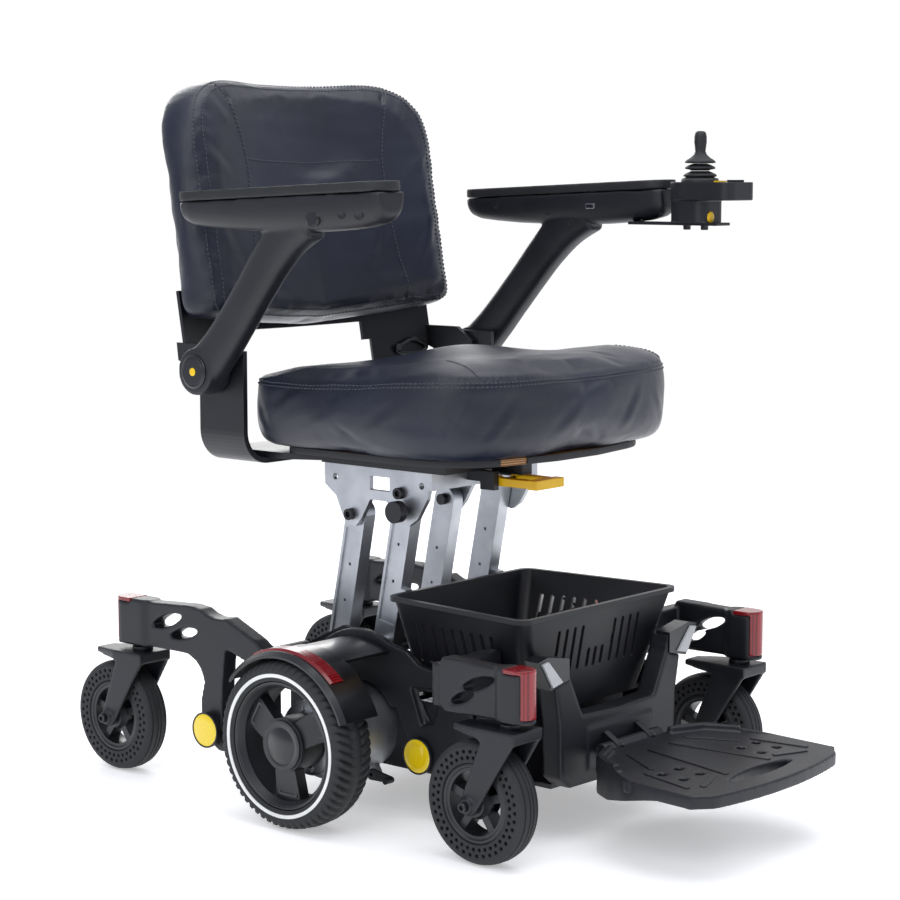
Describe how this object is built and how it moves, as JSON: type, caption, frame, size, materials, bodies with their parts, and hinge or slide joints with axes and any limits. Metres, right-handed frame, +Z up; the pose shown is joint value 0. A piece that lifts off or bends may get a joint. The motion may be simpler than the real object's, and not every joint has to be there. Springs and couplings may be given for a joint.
{
  "type": "power wheelchair",
  "caption": "Compact power wheelchair with a cushioned seat on a folding lift tower, flip-up armrests, a joystick, a basket, a footplate and swivel casters.",
  "frame": {"origin": "centre of the bottom of the bounding box, on the ground", "axes": "+Z up; the user faces -Y; +X is the user's left, the joystick side"},
  "size_m": [0.61, 1.0047, 0.9383],
  "materials": {
    "powder_coated_steel": "satin powder coat",
    "moulded_nylon": "fine spark-eroded texture",
    "gloss_plastic": "gloss",
    "red_lens": "gloss clear red",
    "reflector": "prismatic fluorescent yellow",
    "lamp_lens": "clear polycarbonate",
    "cast_aluminium": "as cast",
    "anodised_aluminium": "bead-blasted and anodised",
    "battery_case": "moulded",
    "steel_shaft": "ground",
    "tyre_rubber": "matt rubber",
    "rim_plastic": "semi-gloss",
    "yellow_plastic": "moulded yellow",
    "plywood": "plain",
    "navy_leatherette": "fine-grained leatherette",
    "soft_rubber": "matt"
  },
  "bodies": {
    "base": {"chassis_frame": "powder_coated_steel", "side_panels": "moulded_nylon", "rear_arm_left": "powder_coated_steel", "rear_arm_right": "powder_coated_steel", "front_arm_left": "powder_coated_steel", "front_arm_right": "powder_coated_steel", "drive_fenders": "gloss_plastic", "fender_lenses": "red_lens", "corner_lenses": "red_lens", "side_reflectors": "reflector", "front_cowl": "moulded_nylon", "headlight_housings": "gloss_plastic", "headlight_lenses": "lamp_lens", "basket": "moulded_nylon", "motor_left": "cast_aluminium", "motor_right": "cast_aluminium", "battery_pack": "battery_case", "motor_controller": "cast_aluminium", "lower_pivot_shafts": "steel_shaft", "footplate_hinge": "powder_coated_steel"},
    "footplate": {"footplate": "moulded_nylon"},
    "rear_lift": {"lift_arms_rear": "anodised_aluminium"},
    "front_lift": {"lift_arms_front": "anodised_aluminium"},
    "seat": {"seat_brackets": "anodised_aluminium", "upper_pivot_bolts": "powder_coated_steel", "seat_plate": "powder_coated_steel", "seat_board": "plywood", "seat_cushion": "navy_leatherette", "side_brackets": "powder_coated_steel"},
    "lock_knob": {"lock_knob": "moulded_nylon"},
    "release_lever": {"release_lever": "yellow_plastic"},
    "backrest": {"backrest_frame": "powder_coated_steel", "backrest_cushion": "navy_leatherette"},
    "armrest_left": {"armrest_arm_left": "moulded_nylon", "armrest_pad_left": "soft_rubber", "joystick_housing": "moulded_nylon"},
    "armrest_right": {"armrest_arm_right": "moulded_nylon", "armrest_pad_right": "soft_rubber"},
    "joystick_gimbal": {"joystick_gimbal": "soft_rubber"},
    "joystick_stick": {"joystick_stick": "soft_rubber"},
    "power_button": {"power_button": "yellow_plastic"},
    "speed_rocker": {"speed_rocker": "moulded_nylon"},
    "drive_wheel_left": {"drive_tyre_left": "tyre_rubber", "drive_rim_left": "rim_plastic"},
    "freewheel_lever_left": {"freewheel_lever_left": "moulded_nylon"},
    "caster_front_left": {"caster_fork_front_left": "moulded_nylon"},
    "caster_wheel_front_left": {"caster_rim_front_left": "rim_plastic", "caster_tyre_front_left": "tyre_rubber"},
    "caster_rear_left": {"caster_fork_rear_left": "moulded_nylon"},
    "caster_wheel_rear_left": {"caster_rim_rear_left": "rim_plastic", "caster_tyre_rear_left": "tyre_rubber"},
    "drive_wheel_right": {"drive_tyre_right": "tyre_rubber", "drive_rim_right": "rim_plastic"},
    "freewheel_lever_right": {"freewheel_lever_right": "moulded_nylon"},
    "caster_front_right": {"caster_fork_front_right": "moulded_nylon"},
    "caster_wheel_front_right": {"caster_rim_front_right": "rim_plastic", "caster_tyre_front_right": "tyre_rubber"},
    "caster_rear_right": {"caster_fork_rear_right": "moulded_nylon"},
    "caster_wheel_rear_right": {"caster_rim_rear_right": "rim_plastic", "caster_tyre_rear_right": "tyre_rubber"}
  },
  "joints": [
    {"name": "drive_spin_left", "type": "hinge", "parent": "base", "child": "drive_wheel_left", "pos_m": [0.27, 0.0455, 0.1075], "axis": [1, 0, 0], "continuous": true},
    {"name": "freewheel_left", "type": "hinge", "parent": "base", "child": "freewheel_lever_left", "pos_m": [0.166, 0.0115, 0.0515], "axis": [-1, 0, 0], "range_deg": [0, 35]},
    {"name": "caster_swivel_front_left", "type": "hinge", "parent": "base", "child": "caster_front_left", "pos_m": [0.237, -0.2735, 0.178], "axis": [0, 0, 1], "continuous": true},
    {"name": "caster_spin_front_left", "type": "hinge", "parent": "caster_front_left", "child": "caster_wheel_front_left", "pos_m": [0.237, -0.2305, 0.075], "axis": [1, 0, 0], "continuous": true},
    {"name": "caster_swivel_rear_left", "type": "hinge", "parent": "base", "child": "caster_rear_left", "pos_m": [0.219, 0.3845, 0.178], "axis": [0, 0, 1], "continuous": true},
    {"name": "caster_spin_rear_left", "type": "hinge", "parent": "caster_rear_left", "child": "caster_wheel_rear_left", "pos_m": [0.219, 0.4275, 0.075], "axis": [1, 0, 0], "continuous": true},
    {"name": "drive_spin_right", "type": "hinge", "parent": "base", "child": "drive_wheel_right", "pos_m": [-0.27, 0.0455, 0.1075], "axis": [1, 0, 0], "continuous": true},
    {"name": "freewheel_right", "type": "hinge", "parent": "base", "child": "freewheel_lever_right", "pos_m": [-0.166, 0.0115, 0.0515], "axis": [-1, 0, 0], "range_deg": [0, 35]},
    {"name": "caster_swivel_front_right", "type": "hinge", "parent": "base", "child": "caster_front_right", "pos_m": [-0.237, -0.2735, 0.178], "axis": [0, 0, 1], "continuous": true},
    {"name": "caster_spin_front_right", "type": "hinge", "parent": "caster_front_right", "child": "caster_wheel_front_right", "pos_m": [-0.237, -0.2305, 0.075], "axis": [1, 0, 0], "continuous": true},
    {"name": "caster_swivel_rear_right", "type": "hinge", "parent": "base", "child": "caster_rear_right", "pos_m": [-0.219, 0.3845, 0.178], "axis": [0, 0, 1], "continuous": true},
    {"name": "caster_spin_rear_right", "type": "hinge", "parent": "caster_rear_right", "child": "caster_wheel_rear_right", "pos_m": [-0.219, 0.4275, 0.075], "axis": [1, 0, 0], "continuous": true},
    {"name": "lift_fold", "type": "hinge", "parent": "base", "child": "rear_lift", "pos_m": [0, 0.14066, 0.17367], "axis": [-1, 0, 0], "range_deg": [0, 70]},
    {"name": "front_lift_fold", "type": "hinge", "parent": "base", "child": "front_lift", "pos_m": [0, 0.05466, 0.20867], "axis": [-1, 0, 0], "range_deg": [0, 70]},
    {"name": "seat_level", "type": "hinge", "parent": "rear_lift", "child": "seat", "pos_m": [0, 0.1025, 0.37], "axis": [-1, 0, 0], "range_deg": [-70, 0]},
    {"name": "lock_pull", "type": "slide", "parent": "seat", "child": "lock_knob", "axis": [-1, 0, 0], "range_m": [0, 0.004]},
    {"name": "release_lift", "type": "hinge", "parent": "seat", "child": "release_lever", "pos_m": [0, -0.0725, 0.42], "axis": [-1, 0, 0], "range_deg": [0, 18], "stiffness_Nm_per_rad": 1},
    {"name": "backrest_fold", "type": "hinge", "parent": "seat", "child": "backrest", "pos_m": [0, 0.2055, 0.561], "axis": [1, 0, 0], "range_deg": [0, 75]},
    {"name": "armrest_lift_left", "type": "hinge", "parent": "seat", "child": "armrest_left", "pos_m": [0.258, 0.2055, 0.561], "axis": [-1, 0, 0], "range_deg": [0, 95]},
    {"name": "armrest_lift_right", "type": "hinge", "parent": "seat", "child": "armrest_right", "pos_m": [-0.258, 0.2055, 0.561], "axis": [-1, 0, 0], "range_deg": [0, 95]},
    {"name": "footplate_fold", "type": "hinge", "parent": "base", "child": "footplate", "pos_m": [0, -0.2705, 0.108], "axis": [-1, 0, 0], "range_deg": [0, 80]},
    {"name": "stick_fore_aft", "type": "hinge", "parent": "armrest_left", "child": "joystick_gimbal", "pos_m": [0.27, -0.1785, 0.8], "axis": [1, 0, 0], "range_deg": [-18, 18], "stiffness_Nm_per_rad": 0.3},
    {"name": "stick_side", "type": "hinge", "parent": "joystick_gimbal", "child": "joystick_stick", "pos_m": [0.27, -0.1785, 0.8], "axis": [0, 1, 0], "range_deg": [-18, 18], "stiffness_Nm_per_rad": 0.3},
    {"name": "power_press", "type": "slide", "parent": "armrest_left", "child": "power_button", "axis": [0, 0, -1], "range_m": [0, 0.0015], "stiffness_N_per_m": 400},
    {"name": "speed_rock", "type": "hinge", "parent": "armrest_left", "child": "speed_rocker", "pos_m": [0.27, -0.2345, 0.797], "axis": [0, 1, 0], "range_deg": [-8, 8], "stiffness_Nm_per_rad": 0.2}
  ],
  "couplings": [
    {"joint": "front_lift_fold", "follows": "lift_fold", "ratio": 1},
    {"joint": "seat_level", "follows": "lift_fold", "ratio": -1}
  ]
}
